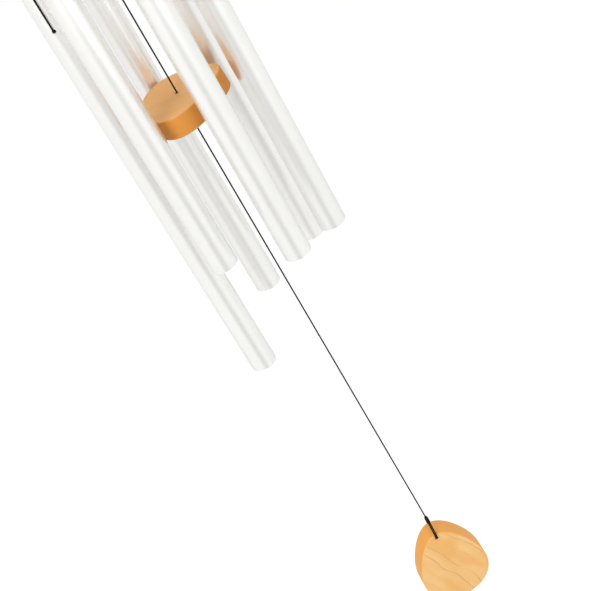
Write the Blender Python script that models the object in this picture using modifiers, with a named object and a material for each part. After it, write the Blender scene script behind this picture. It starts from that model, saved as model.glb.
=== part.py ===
"""Hanging wind chime: six tuned aluminium tubes round a maple striker, with a maple wind catcher below.

Units are metres and +Z is up. The origin is the point where a hook bears: the inner top of the
hanging ring. +X is to the right and +Y is away, seen from the front.
Every piece that swings hangs under an empty on its own pivot.
"""

import math

import bmesh
import bpy
from mathutils import Vector

MM = 0.001

# Hanging ring and the two screw eyes
RING_WIRE = 3.0 * MM
RING_RADIUS = 13.0 * MM
UPPER_EYE_WIRE = 3.0 * MM
UPPER_EYE_RADIUS = 7.5 * MM
UPPER_EYE_SHANK = 10.0 * MM
LOWER_EYE_WIRE = 2.0 * MM
LOWER_EYE_RADIUS = 4.0 * MM
LOWER_EYE_SHANK = 7.0 * MM
EYE_NECK = 1.5 * MM
EYE_OPENING = 2.0 * MM

# Wooden parts
TOP_THICKNESS = 20.0 * MM
TOP_OVERHANG = 9.4 * MM
TOP_ROUNDING = 4.0 * MM
STRIKER_LENGTH = 68.3 * MM
STRIKER_WIDTH = 76.1 * MM
STRIKER_THICKNESS = 17.2 * MM
STRIKER_TAPER = 0.36
STRIKER_HOLE_OFFSET = 3.9 * MM
SAIL_HEIGHT = 84.5 * MM
SAIL_WIDTH = 65.1 * MM
SAIL_THICKNESS = 20.0 * MM
SAIL_TAPER = 0.28
SAIL_HOLE_INSET = 4.8 * MM
WOOD_ROUNDING = 1.2 * MM

# The striker's hole is nearer to its narrow end, so it hangs with the broad end a little lower
STRIKER_TILT = math.radians(3.3)

# Tubes, from the shortest to the longest, which climb round the ring by a sixth of a turn each
TUBE_LENGTHS = (311.0 * MM, 327.5 * MM, 342.5 * MM, 371.0 * MM, 398.5 * MM, 440.0 * MM)
TUBE_DIAMETER = 22.2 * MM
TUBE_WALL = 1.6 * MM
TUBE_DEBURR = 0.3 * MM
SHORTEST_TUBE_ANGLE = math.radians(227.5)
TUBE_HEADROOM = 40.0 * MM

# A free bar's still point, as a share of its length: the tube hangs from there and rings on
STILL_POINT = 0.2242

# How far left of the tubes' middle the lower eye holds the striker's line, and how far left of that
# line the sail hangs, whose loop slips a little to one side of its knot
LINE_OFFSET = 1.7 * MM
SAIL_DRIFT = 0.9 * MM

# Cord, and where it carries the striker and the sail
CORD_DIAMETER = 1.2 * MM
STRIKER_DEPTH = 225.7 * MM
CATCHER_CORD_LENGTH = 457.9 * MM
SAIL_LOOP_DROP = 11.4 * MM
KNOT_LENGTH = 9.6 * MM
STOP_KNOT_LENGTH = 6.0 * MM
STOP_KNOT_GRIP = 1.0 * MM

# Clearances
SEAT_GAP = 0.3 * MM
SWING_GAP = 0.4 * MM
STRIKER_TUBE_GAP = 2.5 * MM
STRAND_GAP = 0.6 * MM
SHANK_FIT = 0.3 * MM

# A knot's thickness in cords, its flat ends as a share of that, and how closely its strands lie
KNOT_CORDS = 3
KNOT_END_SHARE = 0.5
STRAND_SPACING = CORD_DIAMETER + SEAT_GAP

# How finely round shapes are drawn
TUBE_SIDES = 36
TOP_SIDES = 64
OUTLINE_POINTS = 48
KNOT_SIDES = 12
HOLE_SIDES = 12

# Sizes that follow from those above
CORD_RADIUS = CORD_DIAMETER / 2
CORD_BEND = 2 * CORD_DIAMETER
KNOT_DIAMETER = KNOT_CORDS * CORD_DIAMETER
TUBE_RADIUS = TUBE_DIAMETER / 2
STRAND_OFFSET = TUBE_RADIUS + STRAND_GAP + CORD_RADIUS


def egg_outline(length, width, taper):
    """Points round an egg in the XY plane, its narrow end at +X and its middle at the origin."""
    points = []
    for step in range(OUTLINE_POINTS):
        turn = 2 * math.pi * step / OUTLINE_POINTS
        side = math.sin(turn) * (1 - taper * math.cos(turn))
        points.append([length / 2 * math.cos(turn), side])
    widest = max(side for _, side in points)
    return [Vector((x, width / 2 * side / widest)) for x, side in points]


def mouth_radius():
    """The smallest hole whose rim stays SEAT_GAP clear of a cord that turns out of it along the face."""
    along = CORD_BEND - STRAND_GAP - CORD_RADIUS
    inside = CORD_BEND - SEAT_GAP - CORD_RADIUS
    return CORD_BEND - math.sqrt(max(inside**2 - along**2, 0))


def sideways_reach(outline, thickness, tilt):
    """How far a board reaches from the upright line through its hole when it hangs tilted."""
    shift = thickness / 2 * math.sin(tilt)
    reaches = [math.hypot(abs(x * math.cos(tilt)) + shift, y) for x, y in outline]
    return max(reaches)


STRIKER_OUTLINE = [
    point + Vector((STRIKER_HOLE_OFFSET, 0))
    for point in egg_outline(STRIKER_LENGTH, STRIKER_WIDTH, STRIKER_TAPER)
]
STRIKER_REACH = sideways_reach(STRIKER_OUTLINE, STRIKER_THICKNESS, STRIKER_TILT)
PITCH_RADIUS = STRIKER_REACH + LINE_OFFSET + STRIKER_TUBE_GAP + TUBE_RADIUS
TOP_RADIUS = PITCH_RADIUS + TUBE_RADIUS + TOP_OVERHANG
CORD_HOLE_RADIUS = mouth_radius()
CORD_DRIFT = STRIKER_THICKNESS / 2 * math.tan(STRIKER_TILT)
STRIKER_HOLE_RADIUS = max(CORD_HOLE_RADIUS, CORD_RADIUS + SEAT_GAP + CORD_DRIFT)
STOP_KNOT_DIAMETER = 2 * (STRIKER_HOLE_RADIUS + STOP_KNOT_GRIP)
STRIKER_DIP = STOP_KNOT_DIAMETER / 2 * math.tan(STRIKER_TILT)


def eye_rise(radius, wire):
    """The height of a screw eye's middle above the straight part of its shank."""
    bend = wire
    return math.sqrt((radius + bend) ** 2 - bend**2)


# Heights, from the hook point down
RING_BOTTOM = -(2 * RING_RADIUS - RING_WIRE / 2)
UPPER_EYE_TOP = RING_BOTTOM + RING_WIRE / 2 + SEAT_GAP
UPPER_EYE_MIDDLE = UPPER_EYE_TOP - (UPPER_EYE_RADIUS - UPPER_EYE_WIRE / 2)
TOP_FACE = UPPER_EYE_MIDDLE - eye_rise(UPPER_EYE_RADIUS, UPPER_EYE_WIRE) - EYE_NECK
UNDERSIDE = TOP_FACE - TOP_THICKNESS
LOWER_EYE_MIDDLE = UNDERSIDE - EYE_NECK - eye_rise(LOWER_EYE_RADIUS, LOWER_EYE_WIRE)
LOWER_EYE_BOTTOM = LOWER_EYE_MIDDLE - LOWER_EYE_RADIUS
STRIKER_LOOP_TOP = LOWER_EYE_BOTTOM + LOWER_EYE_WIRE / 2 + SEAT_GAP + CORD_RADIUS
STRIKER_LOOP_END = LOWER_EYE_BOTTOM - LOWER_EYE_WIRE / 2 - 2 * CORD_BEND
STRIKER_TOP = UNDERSIDE - STRIKER_DEPTH
STOP_KNOT_TOP = STRIKER_TOP - STRIKER_THICKNESS - STRIKER_DIP - SEAT_GAP
CATCHER_PIVOT = STOP_KNOT_TOP - STOP_KNOT_LENGTH - SWING_GAP
SAIL_KNOT_TOP = CATCHER_PIVOT - CATCHER_CORD_LENGTH - SEAT_GAP
SAIL_HOLE = SAIL_KNOT_TOP - KNOT_LENGTH - SAIL_LOOP_DROP


def on_line(height):
    """The place on the striker's line at a height."""
    return Vector((-LINE_OFFSET, 0, height))


def clear_scene():
    for obj in list(bpy.data.objects):
        bpy.data.objects.remove(obj, do_unlink=True)


def new_collection(name):
    collection = bpy.data.collections.new(name)
    bpy.context.scene.collection.children.link(collection)
    return collection


clear_scene()
PARTS = new_collection("wind_chime")
CUTTERS = new_collection("cutters")


def new_material(name, color, roughness, metallic=0.0):
    material = bpy.data.materials.new(name)
    material.use_nodes = True
    shader = material.node_tree.nodes["Principled BSDF"]
    shader.inputs["Base Color"].default_value = (*color, 1.0)
    shader.inputs["Roughness"].default_value = roughness
    shader.inputs["Metallic"].default_value = metallic
    return material


ALUMINIUM = new_material("satin_aluminium", (0.80, 0.81, 0.82), 0.32, 1.0)
STEEL = new_material("bright_steel", (0.62, 0.62, 0.63), 0.22, 1.0)
TOP_WOOD = new_material("top_maple", (0.78, 0.55, 0.31), 0.5)
STRIKER_WOOD = new_material("striker_maple", (0.76, 0.50, 0.26), 0.5)
SAIL_WOOD = new_material("sail_maple", (0.86, 0.62, 0.36), 0.5)
CORD = new_material("black_braid", (0.035, 0.033, 0.035), 0.8)


def new_empty(name, location, parent=None, turn=0.0):
    """A pivot at a world position; turn points its local +X away from the chime's middle."""
    empty = bpy.data.objects.new(name, None)
    PARTS.objects.link(empty)
    empty.rotation_euler = (0, 0, turn)
    empty.location = Vector(location)
    if parent:
        empty.parent = parent
        empty.location -= parent.matrix_world.translation
    bpy.context.view_layer.update()
    return empty


def place(obj, collection, parent):
    """Adds the object under its pivot, with its mesh in the pivot's own axes."""
    collection.objects.link(obj)
    obj.parent = parent
    return obj


def finish(obj, material):
    obj.data.materials.append(material)
    if obj.type == "MESH":
        obj.data.shade_smooth()
        obj.data.set_sharp_from_angle(angle=math.radians(35))
    return obj


def turned(name, profile, steps, collection, parent, closed=False):
    """A profile of (radius, height) points, outer side running down, turned about local Z."""
    mesh = bpy.data.meshes.new(name)
    points = [(radius, 0, height) for radius, height in profile]
    edges = [(i, i + 1) for i in range(len(points) - 1)]
    if closed:
        edges.append((len(points) - 1, 0))
    mesh.from_pydata(points, edges, [])
    obj = place(bpy.data.objects.new(name, mesh), collection, parent)
    screw = obj.modifiers.new("Turn", "SCREW")
    screw.steps = steps
    screw.render_steps = steps
    screw.use_merge_vertices = True
    screw.merge_threshold = 0.00001
    screw.use_smooth_shade = True
    return obj


def rounded_path(corners, radius, steps=4):
    """The corners joined by straight runs, each inner corner rounded by an arc of the radius."""
    path = [Vector(corners[0])]
    for before, corner, after in zip(corners, corners[1:], corners[2:]):
        corner = Vector(corner)
        back = (Vector(before) - corner).normalized()
        ahead = (Vector(after) - corner).normalized()
        half = back.angle(ahead) / 2
        middle = corner + (back + ahead).normalized() * radius / math.sin(half)
        start = corner + back * radius / math.tan(half) - middle
        end = corner + ahead * radius / math.tan(half) - middle
        swept = start.angle(end)
        for step in range(steps + 1):
            share = step / steps
            blend = start * math.sin((1 - share) * swept) + end * math.sin(share * swept)
            path.append(middle + blend / math.sin(swept))
    path.append(Vector(corners[-1]))
    return path


def wire_curve(name, points, diameter, resolution, collection, parent):
    """A round wire or cord along the points, with closed ends."""
    curve = bpy.data.curves.new(name, "CURVE")
    curve.dimensions = "3D"
    curve.bevel_depth = diameter / 2
    curve.bevel_resolution = resolution
    curve.use_fill_caps = True
    spline = curve.splines.new("POLY")
    spline.points.add(len(points) - 1)
    for target, point in zip(spline.points, points):
        target.co = (*point, 1)
    spline.use_smooth = True
    return place(bpy.data.objects.new(name, curve), collection, parent)


def to_mesh(obj):
    """The curve made a mesh object of the same name and place, with its caps welded on."""
    bpy.context.view_layer.update()
    graph = bpy.context.evaluated_depsgraph_get()
    mesh = bpy.data.meshes.new_from_object(obj.evaluated_get(graph))
    name, collection, parent = obj.name, obj.users_collection[0], obj.parent
    bpy.data.objects.remove(obj, do_unlink=True)
    shape = bmesh.new()
    shape.from_mesh(mesh)
    bmesh.ops.remove_doubles(shape, verts=shape.verts, dist=0.00001)
    bmesh.ops.recalc_face_normals(shape, faces=shape.faces)
    shape.to_mesh(mesh)
    shape.free()
    mesh.materials.clear()
    made = bpy.data.objects.new(name, mesh)
    made.name = name
    return place(made, collection, parent)


def cylinder_cutter(name, radius, start, end, parent):
    """A round cutter from start to end in the pivot's axes, its flats tangent to the radius."""
    start, end = Vector(start), Vector(end)
    mesh = bpy.data.meshes.new(name)
    shape = bmesh.new()
    corner_radius = radius / math.cos(math.pi / HOLE_SIDES)
    bmesh.ops.create_cone(
        shape,
        cap_ends=True,
        segments=HOLE_SIDES,
        radius1=corner_radius,
        radius2=corner_radius,
        depth=(end - start).length,
    )
    shape.to_mesh(mesh)
    shape.free()
    cutter = place(bpy.data.objects.new(name, mesh), CUTTERS, parent)
    cutter.rotation_mode = "QUATERNION"
    cutter.rotation_quaternion = (end - start).to_track_quat("Z", "Y")
    cutter.location = (start + end) / 2
    hide(cutter)
    return cutter


def hide(helper):
    helper.hide_render = True
    helper.display_type = "WIRE"


def boolean(obj, tool, operation="DIFFERENCE"):
    modifier = obj.modifiers.new(tool.name, "BOOLEAN")
    modifier.operation = operation
    modifier.solver = "EXACT"
    modifier.object = tool


def plate(name, outline, thickness, material, parent):
    """A flat board with a rounded rim: outline in local XY, centred on local Z = 0."""
    curve = bpy.data.curves.new(name, "CURVE")
    curve.dimensions = "2D"
    curve.fill_mode = "BOTH"
    curve.extrude = thickness / 2
    spline = curve.splines.new("POLY")
    spline.points.add(len(outline) - 1)
    for target, point in zip(spline.points, outline):
        target.co = (*point, 0, 1)
    spline.use_cyclic_u = True
    board = to_mesh(place(bpy.data.objects.new(name, curve), PARTS, parent))
    rim = board.modifiers.new("Rounded rim", "BEVEL")
    rim.width = min(WOOD_ROUNDING, thickness / 3)
    rim.segments = 4
    rim.limit_method = "ANGLE"
    rim.angle_limit = math.radians(50)
    return finish(board, material)


def knot(name, top, length, diameter, parent):
    """A tied knot as a barrel with flat ends, hanging from a height in the pivot's axes."""
    profile = [(0, top)]
    for step in range(7):
        share = step / 6
        swell = math.sqrt(1 - (1 - KNOT_END_SHARE**2) * (2 * share - 1) ** 4)
        profile.append((diameter / 2 * swell, top - length * share))
    profile.append((0, top - length))
    return finish(turned(name, profile, KNOT_SIDES, PARTS, parent), CORD)


def cord(name, points, parent):
    return finish(wire_curve(name, points, CORD_DIAMETER, 2, PARTS, parent), CORD)


def screw_eye(name, radius, wire, shank, middle, direction, quarter_turn, chime):
    """One bent wire: a shank in the wood, an S-bend, then nearly a full circle round its middle.

    direction is +1 where the eye stands above its shank and -1 where it hangs below it.
    quarter_turn puts the eye's circle in the YZ plane instead of the XZ plane.
    """
    bend = wire
    rise = eye_rise(radius, wire)
    flat = [(0, -rise - EYE_NECK - shank), (0, -rise)]
    leave = math.atan2(-rise, bend)
    turned_by = math.pi / 2 - math.acos(rise / (radius + bend))
    turn_steps = 4
    for step in range(1, turn_steps):
        angle = math.pi - turned_by * step / turn_steps
        flat.append((bend + bend * math.cos(angle), -rise + bend * math.sin(angle)))
    reach = 2 * math.pi - 2 * math.asin((wire + EYE_OPENING) / (2 * radius))
    circle_steps = 22
    for step in range(circle_steps + 1):
        angle = leave + reach * step / circle_steps
        flat.append((radius * math.cos(angle), radius * math.sin(angle)))
    points = []
    for across, up in flat:
        height = direction * up
        points.append((0, across, height) if quarter_turn else (across, 0, height))
    holder = new_empty(f"{name}_place", middle, chime)
    return finish(wire_curve(name, points, wire, 3, PARTS, holder), STEEL)


def make_ring():
    bpy.ops.mesh.primitive_torus_add(
        major_segments=32,
        minor_segments=12,
        major_radius=RING_RADIUS,
        minor_radius=RING_WIRE / 2,
    )
    made = bpy.context.object
    shape = made.data
    bpy.data.objects.remove(made, do_unlink=True)
    ring = place(bpy.data.objects.new("hanging_ring", shape), PARTS, None)
    ring.rotation_euler = (math.pi / 2, 0, 0)
    ring.location = (0, 0, -(RING_RADIUS - RING_WIRE / 2))
    return finish(ring, STEEL)


def rounded_profile(radius, top, bottom, rounding, steps=4):
    """(radius, height) points down the side of a disc with rounded edges, closed on its axis."""
    profile = [(0, top)]
    for step in range(steps + 1):
        angle = math.pi / 2 * step / steps
        profile.append(
            (radius - rounding * (1 - math.sin(angle)), top - rounding * (1 - math.cos(angle)))
        )
    for step in range(steps + 1):
        angle = math.pi / 2 * step / steps
        profile.append(
            (radius - rounding * (1 - math.cos(angle)), bottom + rounding * (1 - math.sin(angle)))
        )
    profile.append((0, bottom))
    return profile


def tube_angle(index):
    return SHORTEST_TUBE_ANGLE + index * 2 * math.pi / len(TUBE_LENGTHS)


def make_top(chime):
    """The round top with its two pilot holes, and two cord holes for each tube."""
    top_face = TOP_FACE - RING_BOTTOM
    underside = UNDERSIDE - RING_BOTTOM
    profile = rounded_profile(TOP_RADIUS, top_face, underside, min(TOP_ROUNDING, TOP_THICKNESS / 3))
    top = turned("top_disc", profile, TOP_SIDES, PARTS, chime)
    finish(top, TOP_WOOD)
    past = TOP_THICKNESS / 2
    upper = UPPER_EYE_WIRE / 2 + SHANK_FIT
    lower = LOWER_EYE_WIRE / 2 + SHANK_FIT
    upper_floor = top_face - UPPER_EYE_SHANK - SHANK_FIT
    lower_ceiling = underside + LOWER_EYE_SHANK + SHANK_FIT
    above = (0, 0, top_face + past)
    boolean(top, cylinder_cutter("upper_pilot", upper, (0, 0, upper_floor), above, chime))
    below, ceiling = on_line(underside - past), on_line(lower_ceiling)
    boolean(top, cylinder_cutter("lower_pilot", lower, below, ceiling, chime))
    for index in range(len(TUBE_LENGTHS)):
        outward = Vector((math.cos(tube_angle(index)), math.sin(tube_angle(index)), 0))
        sideways = Vector((-outward.y, outward.x, 0))
        for side in (-1, 1):
            at = outward * PITCH_RADIUS + sideways * STRAND_OFFSET * side
            start = at + Vector((0, 0, underside - past))
            end = at + Vector((0, 0, top_face + past))
            name = f"cord_hole_{index + 1}{'ab'[side > 0]}"
            boolean(top, cylinder_cutter(name, CORD_HOLE_RADIUS, start, end, chime))


def make_lacing(number, turn, chime):
    """The stitch of a tube's cord over the top: up one hole, across, down the other, with its knot."""
    place_at = (PITCH_RADIUS * math.cos(turn), PITCH_RADIUS * math.sin(turn), UNDERSIDE)
    holder = new_empty(f"lacing_{number}_place", place_at, chime, turn)
    across = TOP_THICKNESS + STRAND_GAP + CORD_RADIUS
    corners = [
        (0, STRAND_OFFSET, 0),
        (0, STRAND_OFFSET, across),
        (0, -STRAND_OFFSET, across),
        (0, -STRAND_OFFSET, 0),
    ]
    name = f"tube_{number}_lacing"
    stitch = to_mesh(
        wire_curve(name, rounded_path(corners, CORD_BEND), CORD_DIAMETER, 2, PARTS, holder)
    )
    finish(stitch, CORD)
    tied = knot(f"tied_{number}", KNOT_LENGTH / 2, KNOT_LENGTH, KNOT_DIAMETER, holder)
    CUTTERS.objects.link(tied)
    PARTS.objects.unlink(tied)
    tied.rotation_euler = (math.pi / 2, 0, 0)
    tied.location = (0, 0, TOP_THICKNESS + KNOT_DIAMETER / 2 + SEAT_GAP)
    hide(tied)
    boolean(stitch, tied, "UNION")


def make_tube(number, length, turn, chime):
    """A tube and the cord that carries it, under a pivot at the top's underside."""
    outward = Vector((math.cos(turn), math.sin(turn), 0))
    pivot_height = UNDERSIDE - SWING_GAP
    pivot = new_empty(
        f"tube_{number}_pivot", outward * PITCH_RADIUS + Vector((0, 0, pivot_height)), chime, turn
    )
    tube_top = UNDERSIDE - TUBE_HEADROOM - pivot_height
    hole = tube_top - STILL_POINT * length
    inner = TUBE_RADIUS - TUBE_WALL
    bottom = tube_top - length
    deburr = min(TUBE_DEBURR, TUBE_WALL / 4)
    wall = [
        (TUBE_RADIUS, tube_top - deburr),
        (TUBE_RADIUS, bottom + deburr),
        (TUBE_RADIUS - deburr, bottom),
        (inner + deburr, bottom),
        (inner, bottom + deburr),
        (inner, tube_top - deburr),
        (inner + deburr, tube_top),
        (TUBE_RADIUS - deburr, tube_top),
    ]
    tube = turned(f"tube_{number}", wall, TUBE_SIDES, PARTS, pivot, closed=True)
    finish(tube, ALUMINIUM)
    drill = cylinder_cutter(
        f"drill_{number}",
        CORD_HOLE_RADIUS,
        (0, -TUBE_DIAMETER, hole),
        (0, TUBE_DIAMETER, hole),
        pivot,
    )
    boolean(tube, drill)
    corners = [
        (0, STRAND_OFFSET, 0),
        (0, STRAND_OFFSET, hole),
        (0, -STRAND_OFFSET, hole),
        (0, -STRAND_OFFSET, 0),
    ]
    cord(f"tube_{number}_cord", rounded_path(corners, CORD_BEND), pivot)


def make_striker(chime):
    """The striker's cord from the lower eye, its knots, and the striker resting on the lower one."""
    line = new_empty("striker_pivot", on_line(LOWER_EYE_BOTTOM), chime)
    base = LOWER_EYE_BOTTOM
    loop_top = STRIKER_LOOP_TOP - base
    loop_end = STRIKER_LOOP_END - base
    loop = [(0, STRAND_SPACING / 2, loop_end)]
    bow_steps = 8
    for step in range(bow_steps + 1):
        angle = math.pi * step / bow_steps
        sag = CORD_BEND * (1 - math.sin(angle))
        loop.append((0, CORD_BEND * math.cos(angle), loop_top - sag))
    loop.append((0, -STRAND_SPACING / 2, loop_end))
    cord("striker_loop", loop, line)
    knot_top = loop_end - SEAT_GAP
    knot("striker_loop_knot", knot_top, KNOT_LENGTH, KNOT_DIAMETER, line)
    start = knot_top - KNOT_LENGTH - SEAT_GAP
    end = STOP_KNOT_TOP - base + SEAT_GAP
    run = [Vector((0, 0, start + (end - start) * step / 4)) for step in range(5)]
    cord("striker_cord", run, line)
    knot("striker_stop_knot", STOP_KNOT_TOP - base, STOP_KNOT_LENGTH, STOP_KNOT_DIAMETER, line)
    turn = new_empty("striker_turn", on_line(STRIKER_TOP - STRIKER_THICKNESS / 2), line)
    striker = plate("striker", STRIKER_OUTLINE, STRIKER_THICKNESS, STRIKER_WOOD, turn)
    striker.rotation_euler = (0, -STRIKER_TILT, 0)
    deep = Vector((-math.sin(STRIKER_TILT), 0, math.cos(STRIKER_TILT))) * STRIKER_THICKNESS
    boolean(striker, cylinder_cutter("striker_drill", STRIKER_HOLE_RADIUS, -deep, deep, turn))
    return line


def make_catcher(line):
    """The long cord under the striker, its knot, the loop through the sail and the sail."""
    pivot = new_empty("catcher_pivot", on_line(CATCHER_PIVOT), line)
    run = [Vector((0, 0, -CATCHER_CORD_LENGTH * step / 6)) for step in range(7)]
    cord("catcher_cord", run, pivot)
    twist = new_empty("sail_twist", on_line(SAIL_KNOT_TOP), pivot)
    knot("sail_knot", 0, KNOT_LENGTH, KNOT_DIAMETER, twist)
    hole = SAIL_HOLE - SAIL_KNOT_TOP
    out = SAIL_THICKNESS / 2 + STRAND_GAP + CORD_RADIUS
    start = -KNOT_LENGTH - SEAT_GAP
    shoulder = hole + SAIL_HOLE_INSET + CORD_BEND
    corners = [
        (0, -STRAND_SPACING / 2, start),
        (-SAIL_DRIFT / 2, -out, shoulder),
        (-SAIL_DRIFT, -out, hole),
        (-SAIL_DRIFT, out, hole),
        (-SAIL_DRIFT / 2, out, shoulder),
        (0, STRAND_SPACING / 2, start),
    ]
    cord("sail_loop", rounded_path(corners, CORD_BEND), twist)
    rock = new_empty("sail_rock", on_line(SAIL_HOLE) - Vector((SAIL_DRIFT, 0, 0)), twist)
    middle = SAIL_HOLE_INSET - SAIL_HEIGHT / 2
    outline = [
        Vector((-point.y, middle + point.x))
        for point in egg_outline(SAIL_HEIGHT, SAIL_WIDTH, SAIL_TAPER)
    ]
    sail = plate("sail", outline, SAIL_THICKNESS, SAIL_WOOD, rock)
    sail.rotation_euler = (math.pi / 2, 0, 0)
    deep = Vector((0, SAIL_THICKNESS, 0))
    boolean(sail, cylinder_cutter("sail_drill", CORD_HOLE_RADIUS, -deep, deep, rock))


def make_chime():
    make_ring()
    chime = new_empty("chime_pivot", (0, 0, RING_BOTTOM))
    screw_eye(
        "upper_screw_eye",
        UPPER_EYE_RADIUS,
        UPPER_EYE_WIRE,
        UPPER_EYE_SHANK,
        (0, 0, UPPER_EYE_MIDDLE),
        1,
        True,
        chime,
    )
    make_top(chime)
    screw_eye(
        "lower_screw_eye",
        LOWER_EYE_RADIUS,
        LOWER_EYE_WIRE,
        LOWER_EYE_SHANK,
        on_line(LOWER_EYE_MIDDLE),
        -1,
        False,
        chime,
    )
    for index, length in enumerate(TUBE_LENGTHS):
        make_lacing(index + 1, tube_angle(index), chime)
        make_tube(index + 1, length, tube_angle(index), chime)
    line = make_striker(chime)
    make_catcher(line)


make_chime()
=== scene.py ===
"""Looks of the hanging wind chime: brushed tubes, lacquered maple and black braided cord.

Units are metres and +Z is up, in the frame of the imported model. The origin is the hook point.
"""

import math

import bmesh
import bpy
from mathutils import Matrix, Vector


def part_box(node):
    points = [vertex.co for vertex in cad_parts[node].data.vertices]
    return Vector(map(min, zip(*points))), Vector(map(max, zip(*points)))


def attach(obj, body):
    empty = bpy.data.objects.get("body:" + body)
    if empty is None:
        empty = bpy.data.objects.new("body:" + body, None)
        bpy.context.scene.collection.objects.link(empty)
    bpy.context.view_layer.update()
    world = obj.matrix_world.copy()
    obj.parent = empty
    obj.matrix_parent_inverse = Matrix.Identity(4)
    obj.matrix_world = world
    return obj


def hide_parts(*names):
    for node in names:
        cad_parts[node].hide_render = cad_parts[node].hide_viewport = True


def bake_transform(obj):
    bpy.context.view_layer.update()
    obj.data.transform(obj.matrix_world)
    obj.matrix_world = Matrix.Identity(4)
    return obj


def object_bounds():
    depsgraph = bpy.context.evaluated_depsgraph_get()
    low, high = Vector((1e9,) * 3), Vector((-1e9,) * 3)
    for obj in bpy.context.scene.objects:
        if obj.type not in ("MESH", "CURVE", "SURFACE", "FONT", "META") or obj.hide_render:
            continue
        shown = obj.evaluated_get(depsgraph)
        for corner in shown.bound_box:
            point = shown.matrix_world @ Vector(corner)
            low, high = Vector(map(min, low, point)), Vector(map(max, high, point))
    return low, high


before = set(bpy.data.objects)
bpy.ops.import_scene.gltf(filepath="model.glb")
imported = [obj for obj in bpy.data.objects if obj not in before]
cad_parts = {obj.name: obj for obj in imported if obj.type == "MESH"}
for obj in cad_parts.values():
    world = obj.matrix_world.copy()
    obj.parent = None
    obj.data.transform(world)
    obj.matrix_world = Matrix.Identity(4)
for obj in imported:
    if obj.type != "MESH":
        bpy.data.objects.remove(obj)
cad_low, cad_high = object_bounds()

MM = 0.001

# Camera, as the photograph was taken: 590 by 591 pixels, turned so that the plumb cord leans
CAMERA_PLACE = Vector((-2.3 * MM, -1015.7 * MM, 128.5 * MM))
CAMERA_PITCH = math.radians(31.4)
CAMERA_ROLL = math.radians(30.37)
CAMERA_SENSOR = 36.0
CAMERA_LENS = 88.47

# Sizes that the model's boxes don't give
CORD_DIAMETER = 1.2 * MM
CORD_BEND = 2 * CORD_DIAMETER
TUBE_DIAMETER = 22.2 * MM
TUBE_WALL = 1.6 * MM
TUBE_CHAMFER = 0.35 * MM
DRILL_RADIUS = 1.5 * MM
STRAND_GAP = 0.6 * MM
SEAT_GAP = 0.3 * MM
WOOD_ROUNDING = 1.2 * MM
MOUTH_ROUNDING = 0.4 * MM
STRIKER_LENGTH = 68.3 * MM
STRIKER_WIDTH = 76.1 * MM
STRIKER_THICKNESS = 17.2 * MM
STRIKER_TAPER = 0.36
STRIKER_HOLE_OFFSET = 3.9 * MM
STRIKER_TILT = math.radians(3.3)
SAIL_TAPER = 0.28
SAIL_HOLE_INSET = 4.8 * MM
LOOP_TURN_SPACING = 1.3 * MM
TOP_ROUNDING = 4.0 * MM
KNOT_LENGTH = 9.6 * MM
KNOT_DIAMETER = 3 * CORD_DIAMETER
RING_WIRE = 3.0 * MM
EYE_NECK = 1.5 * MM
EYE_OPENING = 2.0 * MM
# Each eye's radius, wire and shank, and the radius of the pilot hole that it screws into
UPPER_EYE = (7.5 * MM, 3.0 * MM, 10.0 * MM)
LOWER_EYE = (4.0 * MM, 2.0 * MM, 7.0 * MM)
UPPER_PILOT = 1.8 * MM
LOWER_PILOT = 1.3 * MM
STRAND_SPACING = CORD_DIAMETER + SEAT_GAP
CORD_RADIUS = CORD_DIAMETER / 2
STRAND_OFFSET = TUBE_DIAMETER / 2 + STRAND_GAP + CORD_RADIUS

# Braid: raised pips stand in a chequer round the cord
BRAID_SIDES = 16
BRAID_STEP = 0.5 * MM
BRAID_DEPTH = 0.13

# How finely round shapes are drawn
ROUND_STEPS = 96
OUTLINE_STEPS = 192
RIM_STEPS = 6
WIRE_SIDES = 24
DRILL_STEPS = 32

# How bright the floor looks to the camera, and how bright the tubes mirror its parts
CAMERA_GLOW = 1.08
FRONT_GLOW = 0.68
SIDE_GLOW = 1.10
BACK_SHARE = 0.88
GLOW_SHARE = 0.85

# The floor's size and its depth below the sail, the room's light, and the studio lamps
FLOOR_REACH = 8.0
FLOOR_DROP = 0.25
ROOM_LIGHT = 0.55
LAMPS = (
    ("key_lamp", (-1.4, -1.8, 1.0), 1.2, 26.0),
    ("fill_lamp", (0.9, -2.0, 0.5), 1.4, 18.0),
    ("back_lamp", (0.4, 1.8, 1.4), 1.4, 6.0),
)

# The striker's line hangs beside the tubes' middle, and the sail a little beside the line
LINE = sum(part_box("catcher_cord"), Vector()) / 2
LINE.z = 0.0
SAIL_LINE = sum(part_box("sail"), Vector()) / 2
SAIL_LINE.z = 0.0


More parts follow.
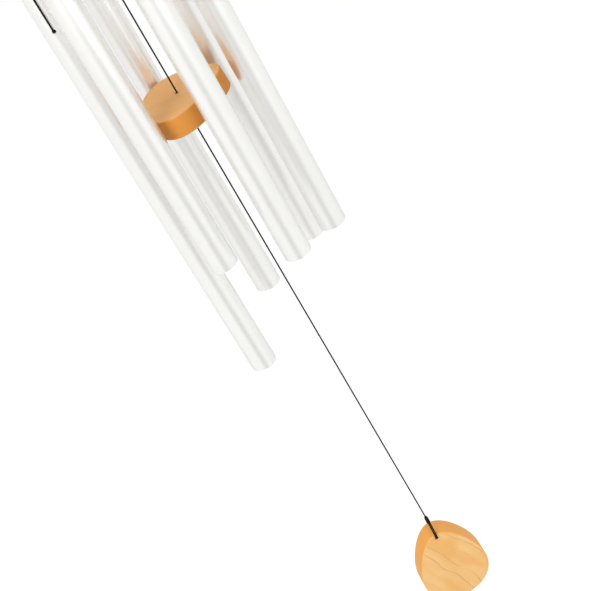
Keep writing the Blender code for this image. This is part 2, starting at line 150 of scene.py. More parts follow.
class Shape:
    """Gathers rings of points into one mesh, with a UV map and a rim weight for each point."""

    def __init__(self):
        self.points = []
        self.faces = []
        self.corners = []
        self.rims = []

    def ring(self, points, rim=0.0):
        start = len(self.points)
        self.points.extend(points)
        self.rims.extend([rim] * len(points))
        return range(start, len(self.points))

    def face(self, indices, uvs):
        self.faces.append(indices)
        self.corners.extend(uvs)

    def bridge(self, first, second, v_first=0.0, v_second=1.0):
        """Quads between two rings of as many points."""
        count = len(first)
        for i in range(count):
            j = (i + 1) % count
            u, u_next = i / count, (i + 1) / count
            self.face(
                (first[i], first[j], second[j], second[i]),
                ((u, v_first), (u_next, v_first), (u_next, v_second), (u, v_second)),
            )

    def close(self, ring, middle, out, v=0.0):
        """A fan from a ring to a point. out is True where the ring runs anticlockwise seen from outside."""
        tip = self.ring([middle])[0]
        count = len(ring)
        for i in range(count):
            j = (i + 1) % count
            pair = (ring[i], ring[j]) if out else (ring[j], ring[i])
            self.face((*pair, tip), ((i / count, v), ((i + 1) / count, v), ((i + 0.5) / count, v)))

    def build(self, name, sharp=35.0):
        mesh = bpy.data.meshes.new(name)
        mesh.from_pydata(self.points, [], self.faces)
        layer = mesh.uv_layers.new(name="Surface")
        layer.data.foreach_set("uv", [number for corner in self.corners for number in corner])
        rim = mesh.attributes.new("rim", "FLOAT", "POINT")
        rim.data.foreach_set("value", self.rims)
        mesh.shade_smooth()
        mesh.set_sharp_from_angle(angle=math.radians(sharp))
        obj = bpy.data.objects.new(name, mesh)
        bpy.context.scene.collection.objects.link(obj)
        return obj


def evenly(points, step):
    """The line through the points again, with a point at each step of its length."""
    points = [Vector(point) for point in points]
    lengths = [(b - a).length for a, b in zip(points, points[1:])]
    count = max(2, round(sum(lengths) / step))
    spaced = []
    at, passed = 0, 0.0
    for i in range(count + 1):
        target = sum(lengths) * i / count
        while at < len(lengths) - 1 and passed + lengths[at] < target:
            passed += lengths[at]
            at += 1
        share = min(1.0, (target - passed) / lengths[at])
        spaced.append(points[at].lerp(points[at + 1], share))
    return spaced


def rounded_path(corners, radius, steps=10):
    """The corners joined by straight runs, each inner corner rounded by an arc of the radius."""
    path = [Vector(corners[0])]
    for before, corner, after in zip(corners, corners[1:], corners[2:]):
        corner = Vector(corner)
        back = (Vector(before) - corner).normalized()
        ahead = (Vector(after) - corner).normalized()
        half = back.angle(ahead) / 2
        middle = corner + (back + ahead).normalized() * radius / math.sin(half)
        start = corner + back * radius / math.tan(half) - middle
        end = corner + ahead * radius / math.tan(half) - middle
        swept = start.angle(end)
        for step in range(steps + 1):
            share = step / steps
            blend = start * math.sin((1 - share) * swept) + end * math.sin(share * swept)
            path.append(middle + blend / math.sin(swept))
    path.append(Vector(corners[-1]))
    return path


def sweep(shape, path, radius, sides, depth=0.0, rounded=True):
    """A round bar along the path. depth is how far a braid's pips stand above the points between."""
    path = [Vector(point) for point in path]
    following = path[1:] + path[-1:]
    previous = path[:1] + path[:-1]
    tangents = [(after - before).normalized() for after, before in zip(following, previous)]
    side = tangents[0].orthogonal().normalized()
    rings = []
    along = 0.0
    for i, (centre, tangent) in enumerate(zip(path, tangents)):
        side = (side - tangent * side.dot(tangent)).normalized()
        up = tangent.cross(side)
        points = []
        for j in range(sides):
            angle = 2 * math.pi * j / sides
            reach = radius * (1 - depth / 2 if (i + j) % 2 else 1 + depth / 2)
            points.append(centre + (side * math.cos(angle) + up * math.sin(angle)) * reach)
        rings.append((shape.ring(points), along))
        if i + 1 < len(path):
            along += (path[i + 1] - centre).length
    for (first, v_first), (second, v_second) in zip(rings, rings[1:]):
        shape.bridge(first, second, v_first / MM, v_second / MM)
    bulge = radius * 0.5 if rounded else 0.0
    shape.close(rings[0][0], path[0] - tangents[0] * bulge, False)
    shape.close(rings[-1][0], path[-1] + tangents[-1] * bulge, True, along / MM)


def turned(shape, profile, steps, centre=(0, 0, 0), rims=None):
    """A closed profile of (radius, height) points, inner side running up, turned about Z."""
    centre = Vector(centre)
    rings = []
    for k, (radius, height) in enumerate(profile):
        points = []
        for i in range(steps):
            angle = 2 * math.pi * i / steps
            points.append(centre + Vector((radius * math.cos(angle), radius * math.sin(angle), height)))
        rings.append(shape.ring(points, rims[k] if rims else 0.0))
    return rings


def finished(obj, body, material, nodes):
    """Gives a piece its material and body, and hides the nodes that it stands for."""
    obj.data.materials.clear()
    obj.data.materials.append(material)
    if body:
        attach(obj, body)
    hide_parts(*nodes)
    return obj


def carved(obj, cutters):
    """Cuts the cutters out of the piece and leaves a plain mesh, with the cutters gone."""
    for cutter in cutters:
        cut = obj.modifiers.new(cutter.name, "BOOLEAN")
        cut.operation = "DIFFERENCE"
        cut.solver = "EXACT"
        cut.object = cutter
    graph = bpy.context.evaluated_depsgraph_get()
    mesh = bpy.data.meshes.new_from_object(obj.evaluated_get(graph))
    obj.modifiers.clear()
    obj.data = mesh
    mesh.set_sharp_from_angle(angle=math.radians(35))
    for cutter in cutters:
        bpy.data.objects.remove(cutter, do_unlink=True)
    return obj


class Shader:
    """One node material: adds nodes and wires them to the Principled shader."""

    def __init__(self, name):
        self.material = bpy.data.materials.new(name)
        self.material.use_nodes = True
        self.tree = self.material.node_tree
        self.surface = self.tree.nodes["Principled BSDF"]

    def feed(self, socket, value):
        if isinstance(value, bpy.types.NodeSocket):
            self.tree.links.new(value, socket)
        else:
            socket.default_value = value

    def add(self, kind, inputs=None, **settings):
        made = self.tree.nodes.new(kind)
        for name, value in settings.items():
            setattr(made, name, value)
        for name, value in (inputs or {}).items():
            self.feed(made.inputs[name], value)
        return made

    def math(self, operation, first, second=0.0):
        made = self.add("ShaderNodeMath", operation=operation)
        self.feed(made.inputs[0], first)
        self.feed(made.inputs[1], second)
        return made.outputs[0]

    def vector(self, operation, first, second=(0, 0, 0)):
        made = self.add("ShaderNodeVectorMath", operation=operation)
        self.feed(made.inputs[0], first)
        self.feed(made.inputs[1], second)
        return made

    def place(self, turn=(0, 0, 0), shift=(0, 0, 0), source="Object"):
        """The piece's own coordinates, turned and moved."""
        at = self.add("ShaderNodeTexCoord").outputs[source]
        return self.add("ShaderNodeMapping", {"Vector": at, "Rotation": turn, "Location": shift}).outputs[0]

    def scaled(self, vector, scale):
        return self.vector("MULTIPLY", vector, scale).outputs[0]

    def noise(self, vector, scale=1.0, detail=2.0, roughness=0.5):
        values = {"Vector": vector, "Scale": scale, "Detail": detail, "Roughness": roughness}
        return self.add("ShaderNodeTexNoise", values).outputs["Fac"]

    def span(self, value, low, high, to_low=0.0, to_high=1.0, smooth=True):
        """Spreads a value from one range to another."""
        made = self.add(
            "ShaderNodeMapRange",
            {"Value": value, "From Min": low, "From Max": high, "To Min": to_low, "To Max": to_high},
            interpolation_type="SMOOTHSTEP" if smooth else "LINEAR",
        )
        return made.outputs[0]

    def mix(self, share, first, second, blend="MIX"):
        made = self.add("ShaderNodeMix", data_type="RGBA", blend_type=blend)
        self.feed(made.inputs[0], share)
        self.feed(made.inputs[6], first)
        self.feed(made.inputs[7], second)
        return made.outputs[2]

    def bump(self, height, strength, distance):
        values = {"Height": height, "Strength": strength, "Distance": distance}
        return self.add("ShaderNodeBump", values).outputs[0]

    def finish(self, **values):
        for name, value in values.items():
            socket = name.replace("_", " ").title().replace("Ior", "IOR")
            self.feed(self.surface.inputs[socket], value)
        return self.material


def wood(name, light, dark, line, rim_grain_and_shade, turn, pith, spacing, wave, lines):
    """Lacquered maple. turn lays local X along the grain; pith is where the tree's middle runs. The rim
    colour tints the rounded rim and sides: the end grain's deeper tone, with painted shade over it.
    """
    s = Shader(name)
    at = s.place(turn=turn, shift=pith)
    drift = s.add("ShaderNodeTexNoise", {"Vector": at, "Scale": 22.0, "Detail": 2.0}).outputs["Color"]
    drift = s.vector("SUBTRACT", drift, (0.5, 0.5, 0.5)).outputs[0]
    bent = s.vector("ADD", at, s.scaled(drift, (0.0, wave, wave))).outputs[0]
    reach = s.vector("LENGTH", s.scaled(bent, (0.16, 1.0, 1.0))).outputs["Value"]
    year = s.math("FRACT", s.math("DIVIDE", reach, spacing))
    late = s.math("MULTIPLY", s.span(year, 0.30, 0.94), s.span(year, 1.0, 0.95))
    thin = s.math("MULTIPLY", s.span(year, 0.84, 0.93), s.span(year, 0.99, 0.94))
    shown = s.span(s.noise(s.scaled(at, (16.0, 60.0, 60.0)), detail=1.0), 0.44, 0.62)
    fibre = s.noise(s.scaled(at, (45.0, 1500.0, 1500.0)), detail=3.0, roughness=0.6)
    streak = s.noise(s.scaled(at, (14.0, 190.0, 190.0)), detail=2.0)
    patch = s.noise(s.scaled(at, (26.0, 52.0, 52.0)), detail=1.0)
    color = s.mix(s.math("MULTIPLY", late, 0.22), light, dark)
    color = s.mix(s.span(patch, 0.46, 0.72, 0.0, 0.75), color, dark)
    color = s.mix(s.span(streak, 0.42, 0.78, 0.0, 0.35), color, dark)
    color = s.mix(s.math("MULTIPLY", s.math("MULTIPLY", thin, shown), lines), color, line)
    grey = s.span(fibre, 0.25, 0.75, 0.95, 1.04, smooth=False)
    shade = s.add("ShaderNodeCombineColor", {"Red": grey, "Green": grey, "Blue": grey}).outputs[0]
    color = s.mix(1.0, color, shade, "MULTIPLY")
    # The rim and sides take the rim colour: deeper end grain, darkened further as painted shade.
    rim = s.add("ShaderNodeAttribute", attribute_name="rim").outputs["Fac"]
    color = s.mix(rim, color, s.mix(1.0, rim_grain_and_shade, shade, "MULTIPLY"))
    rough = s.span(fibre, 0.3, 0.7, 0.46, 0.58, smooth=False)
    return s.finish(
        base_color=color,
        roughness=rough,
        normal=s.bump(fibre, 0.15, 0.00005),
        specular_ior_level=0.25,
    )


def aluminium():
    """Satin tube: a fine etched grain under a clear anodised skin, a little cloudy along the tube."""
    s = Shader("satin_aluminium")
    grain = s.noise(s.scaled(s.place(), (2600.0, 2600.0, 1300.0)), detail=2.0)
    cloud = s.noise(s.scaled(s.place(), (45.0, 45.0, 9.0)), detail=2.0)
    color = s.mix(s.span(cloud, 0.3, 0.7), (0.920, 0.917, 0.890, 1.0), (0.900, 0.898, 0.874, 1.0))
    rough = s.math("ADD", s.span(grain, 0.3, 0.7, 0.31, 0.35), s.span(cloud, 0.3, 0.7, 0.0, 0.02))
    return s.finish(
        base_color=color, metallic=0.83, roughness=rough, normal=s.bump(grain, 0.04, 0.00001)
    )


def steel():
    """Polished steel wire with fine marks and a little tarnish."""
    s = Shader("bright_steel")
    at = s.place()
    marks = s.noise(s.scaled(at, (900.0, 900.0, 900.0)), detail=3.0)
    tarnish = s.noise(s.scaled(at, (90.0, 90.0, 90.0)), detail=2.0)
    color = s.mix(tarnish, (0.66, 0.66, 0.67, 1.0), (0.52, 0.52, 0.54, 1.0))
    return s.finish(
        base_color=color,
        metallic=1.0,
        roughness=s.span(marks, 0.3, 0.7, 0.16, 0.30),
        normal=s.bump(marks, 0.05, 0.00002),
    )


def braid():
    """Black polyester braid: each strand's filaments catch a little light."""
    s = Shader("black_braid")
    at = s.place(source="UV")
    threads = s.noise(s.scaled(at, (64.0, 6.0, 1.0)), detail=3.0, roughness=0.7)
    faded = s.noise(s.scaled(s.place(), (80.0, 80.0, 30.0)), detail=2.0)
    color = s.mix(s.span(threads, 0.35, 0.75), (0.006, 0.004, 0.004, 1.0), (0.024, 0.019, 0.018, 1.0))
    color = s.mix(s.span(faded, 0.4, 0.8, 0.0, 0.3), color, (0.030, 0.026, 0.025, 1.0))
    return s.finish(
        base_color=color,
        roughness=s.span(threads, 0.3, 0.7, 0.7, 0.9),
        normal=s.bump(threads, 0.4, 0.00004),
        specular_ior_level=0.12,
    )


def make_camera():
    data = bpy.data.cameras.new("camera")
    data.sensor_width = CAMERA_SENSOR
    data.sensor_fit = "HORIZONTAL"
    data.lens = CAMERA_LENS
    data.clip_start = 0.01
    data.clip_end = 50.0
    camera = bpy.data.objects.new("camera", data)
    bpy.context.scene.collection.objects.link(camera)
    level = Vector((1, 0, 0))
    forward = Vector((0, math.cos(CAMERA_PITCH), -math.sin(CAMERA_PITCH)))
    upright = level.cross(forward)
    right = level * math.cos(CAMERA_ROLL) - upright * math.sin(CAMERA_ROLL)
    up = level * math.sin(CAMERA_ROLL) + upright * math.cos(CAMERA_ROLL)
    axes = Matrix((right, up, -forward)).transposed()
    camera.matrix_world = Matrix.Translation(CAMERA_PLACE) @ axes.to_4x4()
    bpy.context.scene.camera = camera


BRAID = braid()
ALUMINIUM = aluminium()
STEEL = steel()


def cord_piece(name, path):
    """A braided cord along the path, resampled to the braid's step."""
    shape = Shape()
    line = evenly(path, BRAID_STEP)
    sweep(shape, line, CORD_RADIUS, BRAID_SIDES, BRAID_DEPTH)
    return shape.build(name, sharp=80.0), line


def wound_knot(name, centre, axis, length, diameter):
    """A barrel knot: the cord wound round itself, with both ends tucked in."""
    shape = Shape()
    axis = Vector(axis).normalized()
    side = axis.orthogonal().normalized()
    up = axis.cross(side)
    coil = diameter / 2 - CORD_RADIUS
    travel = length - CORD_DIAMETER
    turns = travel / (CORD_DIAMETER * 1.04)
    steps = round(turns * 24)
    path = []
    for step in range(steps + 1):
        share = step / steps
        tuck = min(1.0, 6 * share, 6 * (1 - share)) ** 0.5
        angle = 2 * math.pi * turns * share
        around = side * math.cos(angle) + up * math.sin(angle)
        path.append(Vector(centre) + axis * travel * (share - 0.5) + around * coil * (0.35 + 0.65 * tuck))
    sweep(shape, evenly(path, BRAID_STEP / 2), CORD_RADIUS, BRAID_SIDES, BRAID_DEPTH)
    reach = length / 2 - 0.02 * MM
    core = [Vector(centre) + axis * reach * (2 * step / 8 - 1) for step in range(9)]
    sweep(shape, core, coil, BRAID_SIDES, 0.0, rounded=False)
    return shape.build(name, sharp=80.0)


def on_line(height, depth=0.0):
    """The place on the striker's line at a height, or in front of it or behind it by a depth."""
    return LINE + Vector((0, depth, height))


def knot_in_box(name, node):
    """A wound knot that fills an upright knot of the model."""
    low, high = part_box(node)
    return wound_knot(name, (low + high) / 2, (0, 0, 1), high.z - low.z, high.x - low.x)


def make_tube(number):
    """The tube with deburred ends and holes."""
    name = f"tube_{number}"
    low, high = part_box(name)
    centre = (low + high) / 2
    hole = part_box(f"{name}_cord")[0].z + CORD_RADIUS
    outer, inner, edge = TUBE_DIAMETER / 2, TUBE_DIAMETER / 2 - TUBE_WALL, TUBE_CHAMFER
    profile = [
        (outer - edge, high.z),
        (outer - 0.3 * edge, high.z - 0.3 * edge),
        (outer, high.z - edge),
        (outer, low.z + edge),
        (outer - 0.3 * edge, low.z + 0.3 * edge),
        (outer - edge, low.z),
        (inner + edge, low.z),
        (inner, low.z + edge),
        (inner, high.z - edge),
        (inner + edge, high.z),
    ]
    shape = Shape()
    rings = turned(shape, profile, ROUND_STEPS, (centre.x, centre.y, 0))
    for k, ring in enumerate(rings):
        following = (k + 1) % len(rings)
        shape.bridge(rings[following], ring, profile[following][1] * 10, profile[k][1] * 10)
    tube = shape.build(f"{name}_brushed")
    outward = Vector((centre.x, centre.y, 0)).normalized()
    across = Vector((-outward.y, outward.x, 0))
    middle = Vector((centre.x, centre.y, hole))
    stations = ((inner - 1 * MM, 1.0), (outer - 0.3 * MM, 1.0), (outer + 0.5 * MM, 1.45))
    cutters = []
    for side in (-1, 1):
        cut = Shape()
        rings = []
        for reach, radius in stations:
            points = []
            for i in range(DRILL_STEPS):
                angle = 2 * math.pi * i / DRILL_STEPS
                around = outward * math.cos(angle) + Vector((0, 0, 1)) * math.sin(angle)
                points.append(middle + across * side * reach + around * DRILL_RADIUS * radius)
            rings.append(cut.ring(points))
        for first, second in zip(rings, rings[1:]):
            cut.bridge(first, second)
        cut.close(rings[0], middle + across * side * stations[0][0], False)
        cut.close(rings[-1], middle + across * side * stations[-1][0], True)
        cutter = cut.build(f"{name}_drill_{side}")
        closed(cutter)
        cutters.append(cutter)
    carved(tube, cutters)
    return finished(tube, f"hung_tube_{number}", ALUMINIUM, [name])


def closed(obj):
    """Turns a closed mesh's faces outward."""
    mesh = bmesh.new()
    mesh.from_mesh(obj.data)
    bmesh.ops.recalc_face_normals(mesh, faces=mesh.faces)
    mesh.to_mesh(obj.data)
    mesh.free()


def make_tube_cord(number):
    """One cord, tied over the top: down a hole, through the tube and up the other hole."""
    name = f"tube_{number}"
    low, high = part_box(name)
    centre = (low + high) / 2
    outward = Vector((centre.x, centre.y, 0)).normalized()
    across = Vector((-outward.y, outward.x, 0))
    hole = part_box(f"{name}_cord")[0].z + CORD_RADIUS
    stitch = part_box("top_disc")[1].z + STRAND_GAP + CORD_RADIUS
    middle = Vector((centre.x, centre.y, 0))

    def at(side, height):
        return middle + across * STRAND_OFFSET * side + Vector((0, 0, height))

    corners = [at(0, stitch), at(1, stitch), at(1, hole), at(-1, hole), at(-1, stitch), at(0, stitch)]
    string, line = cord_piece(f"{name}_string", rounded_path(corners, CORD_BEND))
    string.data.materials.append(BRAID)
    knot_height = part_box(f"{name}_lacing")[1].z - KNOT_DIAMETER / 2
    knot_middle = middle + Vector((0, 0, knot_height))
    knot = wound_knot(f"{name}_string_knot", knot_middle, across, KNOT_LENGTH, KNOT_DIAMETER)
    finished(knot, "top", BRAID, [f"{name}_lacing"])
    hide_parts(f"{name}_cord", f"{name}_lacing")
    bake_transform(string)


def egg_outline(length, width, taper):
    """Points round an egg in the XY plane, its narrow end at +X and its middle at the origin."""
    points = []
    for step in range(OUTLINE_STEPS):
        turn = 2 * math.pi * step / OUTLINE_STEPS
        side = math.sin(turn) * (1 - taper * math.cos(turn))
        points.append([length / 2 * math.cos(turn), side])
    widest = max(side for _, side in points)
    return [Vector((x, width / 2 * side / widest)) for x, side in points]


def board(name, outline, thickness, hole):
    """A board with a rounded rim and a hole at the origin, lying in the XY plane about Z = 0."""
    count = len(outline)
    normals = []
    for i in range(count):
        along = outline[(i + 1) % count] - outline[i - 1]
        normals.append(Vector((along.y, -along.x)).normalized())
    mouth = [point.normalized() * hole for point in outline]
    shape = Shape()
    half = thickness / 2

    def hole_ring(grow, height):
        return shape.ring([(*(p.normalized() * (hole + grow)), height) for p in outline])

    def rim_ring(inset, height, rim):
        return shape.ring([(*(p - n * inset), height) for p, n in zip(outline, normals)], rim)

    def face_rings(height, shares):
        rings = []
        for share in shares:
            points = []
            for p, n, m in zip(outline, normals, mouth):
                start = m.normalized() * (hole + MOUTH_ROUNDING)
                points.append((*start.lerp(p - n * WOOD_ROUNDING, share), height))
            rings.append(shape.ring(points))
        return rings

    quarter = [math.pi / 2 * k / RIM_STEPS for k in range(RIM_STEPS + 1)]
    rings = []
    for angle in quarter:
        drop = MOUTH_ROUNDING * (1 - math.sin(angle))
        rings.append(hole_ring(MOUTH_ROUNDING * (1 - math.cos(angle)), half - drop))
    rings += face_rings(half, (0.25, 0.5, 0.75))
    for angle in quarter:
        inset = WOOD_ROUNDING * (1 - math.sin(angle))
        rings.append(rim_ring(inset, half - WOOD_ROUNDING * (1 - math.cos(angle)), math.sin(angle)))
    for angle in reversed(quarter):
        inset = WOOD_ROUNDING * (1 - math.sin(angle))
        rings.append(rim_ring(inset, -half + WOOD_ROUNDING * (1 - math.cos(angle)), math.sin(angle)))
    rings += face_rings(-half, (0.75, 0.5, 0.25))
    for angle in reversed(quarter):
        drop = MOUTH_ROUNDING * (1 - math.sin(angle))
        rings.append(hole_ring(MOUTH_ROUNDING * (1 - math.cos(angle)), -half + drop))
    for first, second in zip(rings, rings[1:] + rings[:1]):
        shape.bridge(first, second)
    obj = shape.build(name, sharp=50.0)
    closed(obj)
    return obj


def make_striker():
    outline = [
        point + Vector((STRIKER_HOLE_OFFSET, 0))
        for point in egg_outline(STRIKER_LENGTH, STRIKER_WIDTH, STRIKER_TAPER)
    ]
    striker = board("striker_puck", outline, STRIKER_THICKNESS, DRILL_RADIUS)
    knot_low, knot_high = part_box("striker_stop_knot")
    dip = (knot_high.x - knot_low.x) / 2 * math.tan(STRIKER_TILT)
    height = knot_high.z + SEAT_GAP + dip + STRIKER_THICKNESS / 2
    striker.location = LINE + Vector((0, 0, height))
    striker.rotation_euler = (0, -STRIKER_TILT, 0)
    material = wood(
        "striker_maple",
        # The face colours are the maple's tone lifted by painted light, making up for the shade of the tubes
        # round the striker.
        light=(0.90, 0.49, 0.18, 1.0),
        dark=(0.86, 0.445, 0.155, 1.0),
        line=(0.97, 0.62, 0.31, 1.0),
        # The rim colour is the end grain's deeper orange with painted shade: the sides are drawn darker than
        # the faces.
        rim_grain_and_shade=(0.65, 0.257, 0.043, 1.0),
        turn=(0, 0, math.radians(25)),
        pith=(0, 0.07, 0.03),
        spacing=4.0 * MM,
        wave=0.008,
        lines=0.6,
    )
    return finished(striker, "striker_puck", material, ["striker"])


def make_sail():
    low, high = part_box("sail")
    knot_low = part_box("sail_loop")[0].z
    hole = knot_low + CORD_RADIUS
    middle = (low.z + high.z) / 2 - hole
    outline = [
        Vector((-point.y, middle + point.x))
        for point in egg_outline(high.z - low.z, high.x - low.x, SAIL_TAPER)
    ]
    sail = board("sail_plate", outline, high.y - low.y, DRILL_RADIUS)
    sail.rotation_euler = (math.pi / 2, 0, 0)
    sail.location = SAIL_LINE + Vector((0, 0, hole))
    material = wood(
        "sail_maple",
        light=(0.85, 0.53, 0.22, 1.0),
        dark=(0.81, 0.42, 0.12, 1.0),
        line=(0.58, 0.30, 0.09, 1.0),
        # The rim colour is deeper orange end grain with painted shade: the rounded rim is drawn darker than
        # the front face.
        rim_grain_and_shade=(0.97, 0.445, 0.10, 1.0),
        turn=(0, 0, math.radians(69)),
        pith=(0, 0.09, 0.03),
        spacing=9.0 * MM,
        wave=0.016,
        lines=0.6,
    )
    return finished(sail, "sail_plate", material, ["sail"])


def make_top():
    low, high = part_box("top_disc")
    radius = (high.x - low.x) / 2
    thickness = high.z - low.z
    rounding = TOP_ROUNDING
    quarter = [math.pi / 2 * k / RIM_STEPS for k in range(RIM_STEPS + 1)]
    profile, rims = [], []
    for angle in quarter:
        profile.append((radius - rounding * (1 - math.sin(angle)), high.z - rounding * (1 - math.cos(angle))))
        rims.append(math.sin(angle))
    for angle in reversed(quarter):
        profile.append((radius - rounding * (1 - math.sin(angle)), low.z + rounding * (1 - math.cos(angle))))
        rims.append(math.sin(angle))
    shape = Shape()
    rings = turned(shape, profile, OUTLINE_STEPS, rims=rims)
    for first, second in zip(rings, rings[1:]):
        shape.bridge(second, first)
    shape.close(rings[0], Vector((0, 0, high.z)), True)
    shape.close(rings[-1], Vector((0, 0, low.z)), False)
    top = shape.build("top_disc_turned")
    closed(top)
    cutters = []
    for number in range(1, 7):
        tube_low, tube_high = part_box(f"tube_{number}")
        centre = (tube_low + tube_high) / 2
        outward = Vector((centre.x, centre.y, 0)).normalized()
        across = Vector((-outward.y, outward.x, 0))
        for side in (-1, 1):
            cutters.append(
                hole_cutter(
                    f"cord_hole_{number}_{side}",
                    Vector((centre.x, centre.y, 0)) + across * STRAND_OFFSET * side,
                    DRILL_RADIUS,
                    low.z,
                    high.z,
                )
            )
    for name, reach in (("upper", UPPER_PILOT), ("lower", LOWER_PILOT)):
        eye_low, eye_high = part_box(f"{name}_screw_eye")
        if name == "upper":
            ends = (eye_low.z - SEAT_GAP, high.z)
        else:
            ends = (low.z, eye_high.z + SEAT_GAP)
        at = Vector() if name == "upper" else LINE
        cutters.append(hole_cutter(f"{name}_pilot", at, reach, *ends))
    carved(top, cutters)
    material = wood(
        "top_maple",
        light=(0.76, 0.47, 0.21, 1.0),
        dark=(0.66, 0.36, 0.13, 1.0),
        line=(0.45, 0.21, 0.065, 1.0),
        # The rim colour is the end grain's deeper tone with painted shade, as on the other boards: the turned
        # edge is drawn darker than the faces.
        rim_grain_and_shade=(0.62, 0.30, 0.075, 1.0),
        turn=(0, 0, math.radians(20)),
        pith=(0, 0, 0.09),
        spacing=6.0 * MM,
        wave=0.018,
        lines=0.4,
    )
    return finished(top, "top", material, ["top_disc"])


def make_ring():
    low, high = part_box("hanging_ring")
    middle = (low + high) / 2
    radius = (high.x - low.x - RING_WIRE) / 2
    shape = Shape()
    rings = []
    for step in range(OUTLINE_STEPS):
        around = 2 * math.pi * step / OUTLINE_STEPS
        out = Vector((math.cos(around), 0, math.sin(around)))
        points = []
        for side in range(WIRE_SIDES):
            angle = 2 * math.pi * side / WIRE_SIDES
            reach = out * math.cos(angle) + Vector((0, math.sin(angle), 0))
            points.append(middle + out * radius + reach * RING_WIRE / 2)
        rings.append(shape.ring(points))
    for first, second in zip(rings, rings[1:] + rings[:1]):
        shape.bridge(first, second)
    ring = shape.build("hanging_ring_bent")
    closed(ring)
    finished(ring, "hook_ring", STEEL, ["hanging_ring"])


def make_eye(name, radius, wire, shank, middle, direction, quarter_turn):
    """One bent wire: a shank in the wood, an S-bend, then nearly a full circle round its middle."""
    rise = math.sqrt((radius + wire) ** 2 - wire**2)
    flat = [(0, -rise - EYE_NECK - shank), (0, -rise)]
    leave = math.atan2(-rise, wire)
    turned_by = math.pi / 2 - math.acos(rise / (radius + wire))
    bend_steps = 12
    for step in range(1, bend_steps):
        angle = math.pi - turned_by * step / bend_steps
        flat.append((wire + wire * math.cos(angle), -rise + wire * math.sin(angle)))
    reach = 2 * math.pi - 2 * math.asin((wire + EYE_OPENING) / (2 * radius))
    for step in range(ROUND_STEPS + 1):
        angle = leave + reach * step / ROUND_STEPS
        flat.append((radius * math.cos(angle), radius * math.sin(angle)))
    path = []
    for across, up in flat:
        out = Vector((0, across, direction * up) if quarter_turn else (across, 0, direction * up))
        path.append(middle + out)
    shape = Shape()
    sweep(shape, path, wire / 2, WIRE_SIDES)
    eye = shape.build(f"{name}_bent")
    closed(eye)
    finished(eye, "top", STEEL, [name])


def make_eyes():
    radius, wire, shank = UPPER_EYE
    middle = Vector((0, 0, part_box("upper_screw_eye")[1].z - radius - wire / 2))
    make_eye("upper_screw_eye", radius, wire, shank, middle, 1, True)
    radius, wire, shank = LOWER_EYE
    middle = on_line(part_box("lower_screw_eye")[0].z + radius + wire / 2)
    make_eye("lower_screw_eye", radius, wire, shank, middle, -1, False)


def hole_cutter(name, at, radius, low, high, past=2 * MM):
    """A round cutter along Z that opens a little at both faces of the board."""
    cut = Shape()
    rings = []
    flare = 0.6 * MM
    stations = (
        (low - past, radius + flare),
        (low, radius + flare * 0.6),
        (low + flare, radius),
        (high - flare, radius),
        (high, radius + flare * 0.6),
        (high + past, radius + flare),
    )
    for height, reach in stations:
        points = []
        for i in range(DRILL_STEPS):
            angle = 2 * math.pi * i / DRILL_STEPS
            points.append(at + Vector((reach * math.cos(angle), reach * math.sin(angle), height)))
        rings.append(cut.ring(points))
    for first, second in zip(rings, rings[1:]):
        cut.bridge(first, second)
    cut.close(rings[0], at + Vector((0, 0, low - past)), False)
    cut.close(rings[-1], at + Vector((0, 0, high + past)), True)
    cutter = cut.build(name)
    closed(cutter)
    return cutter


def make_striker_line():
    """The cord from the lower eye to the stop knot, with its loop, and the two knots."""
    loop_low, loop_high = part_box("striker_loop")
    loop_top = loop_high.z - CORD_RADIUS
    loop_end = loop_low.z
    knot_low, knot_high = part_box("striker_loop_knot")
    stop_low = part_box("striker_stop_knot")[0]
    path = [on_line(knot_high.z - 1 * MM, STRAND_SPACING / 2), on_line(loop_end, STRAND_SPACING / 2)]
    bow_steps = 16
    for step in range(bow_steps + 1):
        angle = math.pi * step / bow_steps
        sag = CORD_BEND * (1 - math.sin(angle))
        path.append(on_line(loop_top - sag, CORD_BEND * math.cos(angle)))
    path.append(on_line(loop_end, -STRAND_SPACING / 2))
    path.append(on_line((knot_low.z + knot_high.z) / 2))
    path.append(on_line(stop_low.z + 1 * MM))
    string, line = cord_piece("striker_string", path)
    loop_knot = knot_in_box("striker_loop_tied", "striker_loop_knot")
    stop_knot = knot_in_box("striker_stop_tied", "striker_stop_knot")
    finished(loop_knot, "striker_line", BRAID, ["striker_loop_knot"])
    finished(stop_knot, "striker_line", BRAID, ["striker_stop_knot"])
    finished(string, "striker_line", BRAID, ["striker_loop", "striker_cord"])


def make_catcher_line():
    """The long cord under the striker, and the sail's knot."""
    low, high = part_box("catcher_cord")
    path = [on_line(high.z + SEAT_GAP), on_line(low.z - SEAT_GAP)]
    string, line = cord_piece("catcher_string", path)
    string.data.materials.append(BRAID)
    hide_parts("catcher_cord")
    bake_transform(string)
    knot = knot_in_box("sail_tied", "sail_knot")
    finished(knot, "sail_hanger", BRAID, ["sail_knot"])


def make_sail_loop():
    """The loop over the sail's rim: two turns of cord, side by side through its hole."""
    low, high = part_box("sail_loop")
    hole = low.z + CORD_RADIUS
    out = high.y - CORD_RADIUS
    shoulder = hole + SAIL_HOLE_INSET + CORD_BEND
    halfway = (LINE + SAIL_LINE) / 2
    for name, side in (("left", -1), ("right", 1)):
        beside = Vector((side * LOOP_TURN_SPACING / 2, 0, 0))
        corners = [
            on_line(high.z + SEAT_GAP, -STRAND_SPACING / 2) + beside,
            halfway + beside + Vector((0, -out, shoulder)),
            SAIL_LINE + beside + Vector((0, -out, hole)),
            SAIL_LINE + beside + Vector((0, out, hole)),
            halfway + beside + Vector((0, out, shoulder)),
            on_line(high.z + SEAT_GAP, STRAND_SPACING / 2) + beside,
        ]
        loop, line = cord_piece(f"sail_string_{name}", rounded_path(corners, CORD_BEND))
        finished(loop, "sail_hanger", BRAID, ["sail_loop"])


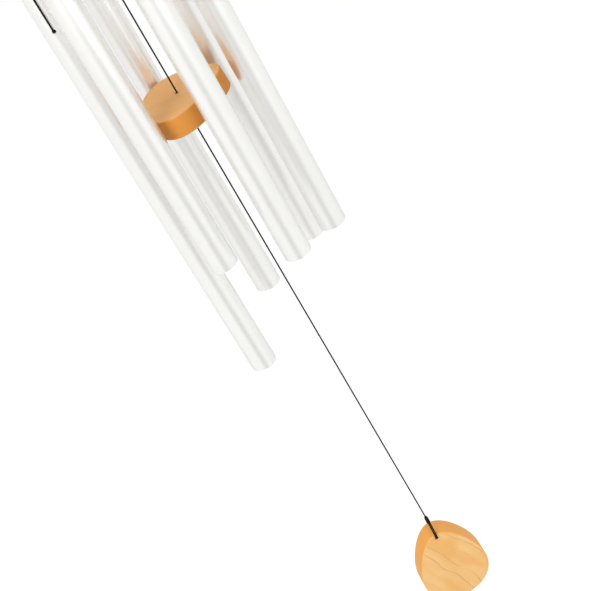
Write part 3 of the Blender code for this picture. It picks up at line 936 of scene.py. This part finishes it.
def make_floor():
    """A pale floor that shows white to the camera and keeps a trace of the object's shadow.

    The tubes mirror it: it is greyer where the room lies open, towards the camera, as in the photo.
    """
    shape = Shape()
    level = cad_low.z - FLOOR_DROP
    corners = ((-1, -1), (1, -1), (1, 1), (-1, 1))
    ring = shape.ring([(x * FLOOR_REACH, y * FLOOR_REACH, level) for x, y in corners])
    shape.face(tuple(ring), ((0, 0), (1, 0), (1, 1), (0, 1)))
    floor = shape.build("floor")
    s = Shader("pale_floor")
    s.finish(base_color=(0.9, 0.9, 0.9, 1.0), roughness=0.9)
    place = s.add("ShaderNodeSeparateXYZ", {"Vector": s.place()})
    toward = s.math("MULTIPLY", place.outputs["Y"], -1.0)
    bearing = s.math("ABSOLUTE", s.math("ADD", s.math("ARCTAN2", place.outputs["X"], toward), 0.10))
    front = s.span(bearing, 0.08, 0.62, FRONT_GLOW, SIDE_GLOW)
    mirrored = s.math("MULTIPLY", front, s.span(bearing, 1.8, 2.6, 1.0, BACK_SHARE))
    ray = s.add("ShaderNodeLightPath")
    glow = s.add("ShaderNodeMix", {0: ray.outputs["Is Glossy Ray"], 2: CAMERA_GLOW, 3: mirrored})
    glow = s.add("ShaderNodeEmission", {"Color": (1.0, 1.0, 1.0, 1.0), "Strength": glow.outputs[0]})
    seen = s.math("MAXIMUM", ray.outputs["Is Camera Ray"], ray.outputs["Is Glossy Ray"])
    share = s.math("MULTIPLY", seen, GLOW_SHARE)
    blend = s.add("ShaderNodeMixShader", {0: share, 1: s.surface.outputs[0], 2: glow.outputs[0]})
    s.tree.links.new(blend.outputs[0], s.tree.nodes["Material Output"].inputs["Surface"])
    floor.data.materials.append(s.material)


def make_world():
    world = bpy.data.worlds.new("studio")
    bpy.context.scene.world = world
    world.use_nodes = True
    tree = world.node_tree
    room = tree.nodes["Background"]
    room.inputs["Color"].default_value = (1.0, 1.0, 1.0, 1.0)
    room.inputs["Strength"].default_value = ROOM_LIGHT
    white = tree.nodes.new("ShaderNodeBackground")
    white.inputs["Color"].default_value = (1.0, 1.0, 1.0, 1.0)
    ray = tree.nodes.new("ShaderNodeLightPath")
    seen = tree.nodes.new("ShaderNodeMath")
    seen.operation = "MAXIMUM"
    tree.links.new(ray.outputs["Is Camera Ray"], seen.inputs[0])
    tree.links.new(ray.outputs["Is Glossy Ray"], seen.inputs[1])
    blend = tree.nodes.new("ShaderNodeMixShader")
    tree.links.new(seen.outputs[0], blend.inputs[0])
    tree.links.new(room.outputs[0], blend.inputs[1])
    tree.links.new(white.outputs[0], blend.inputs[2])
    tree.links.new(blend.outputs[0], tree.nodes["World Output"].inputs["Surface"])


def make_lamp(name, place, target, size, power):
    data = bpy.data.lights.new(name, "AREA")
    data.shape = "SQUARE"
    data.size = size
    data.energy = power
    lamp = bpy.data.objects.new(name, data)
    bpy.context.scene.collection.objects.link(lamp)
    lamp.location = place
    lamp.rotation_euler = (Vector(target) - Vector(place)).to_track_quat("-Z", "Y").to_euler()


make_camera()
make_floor()
make_world()
middle = (0, 0, (cad_low.z + cad_high.z) / 2)
for lamp_name, lamp_place, lamp_size, lamp_power in LAMPS:
    make_lamp(lamp_name, lamp_place, middle, lamp_size, lamp_power)
for tube_number in range(1, 7):
    make_tube(tube_number)
    make_tube_cord(tube_number)
make_striker_line()
make_catcher_line()
make_sail_loop()
make_striker()
make_sail()
make_top()
make_ring()
make_eyes()

bpy.context.scene.view_settings.view_transform = "Standard"
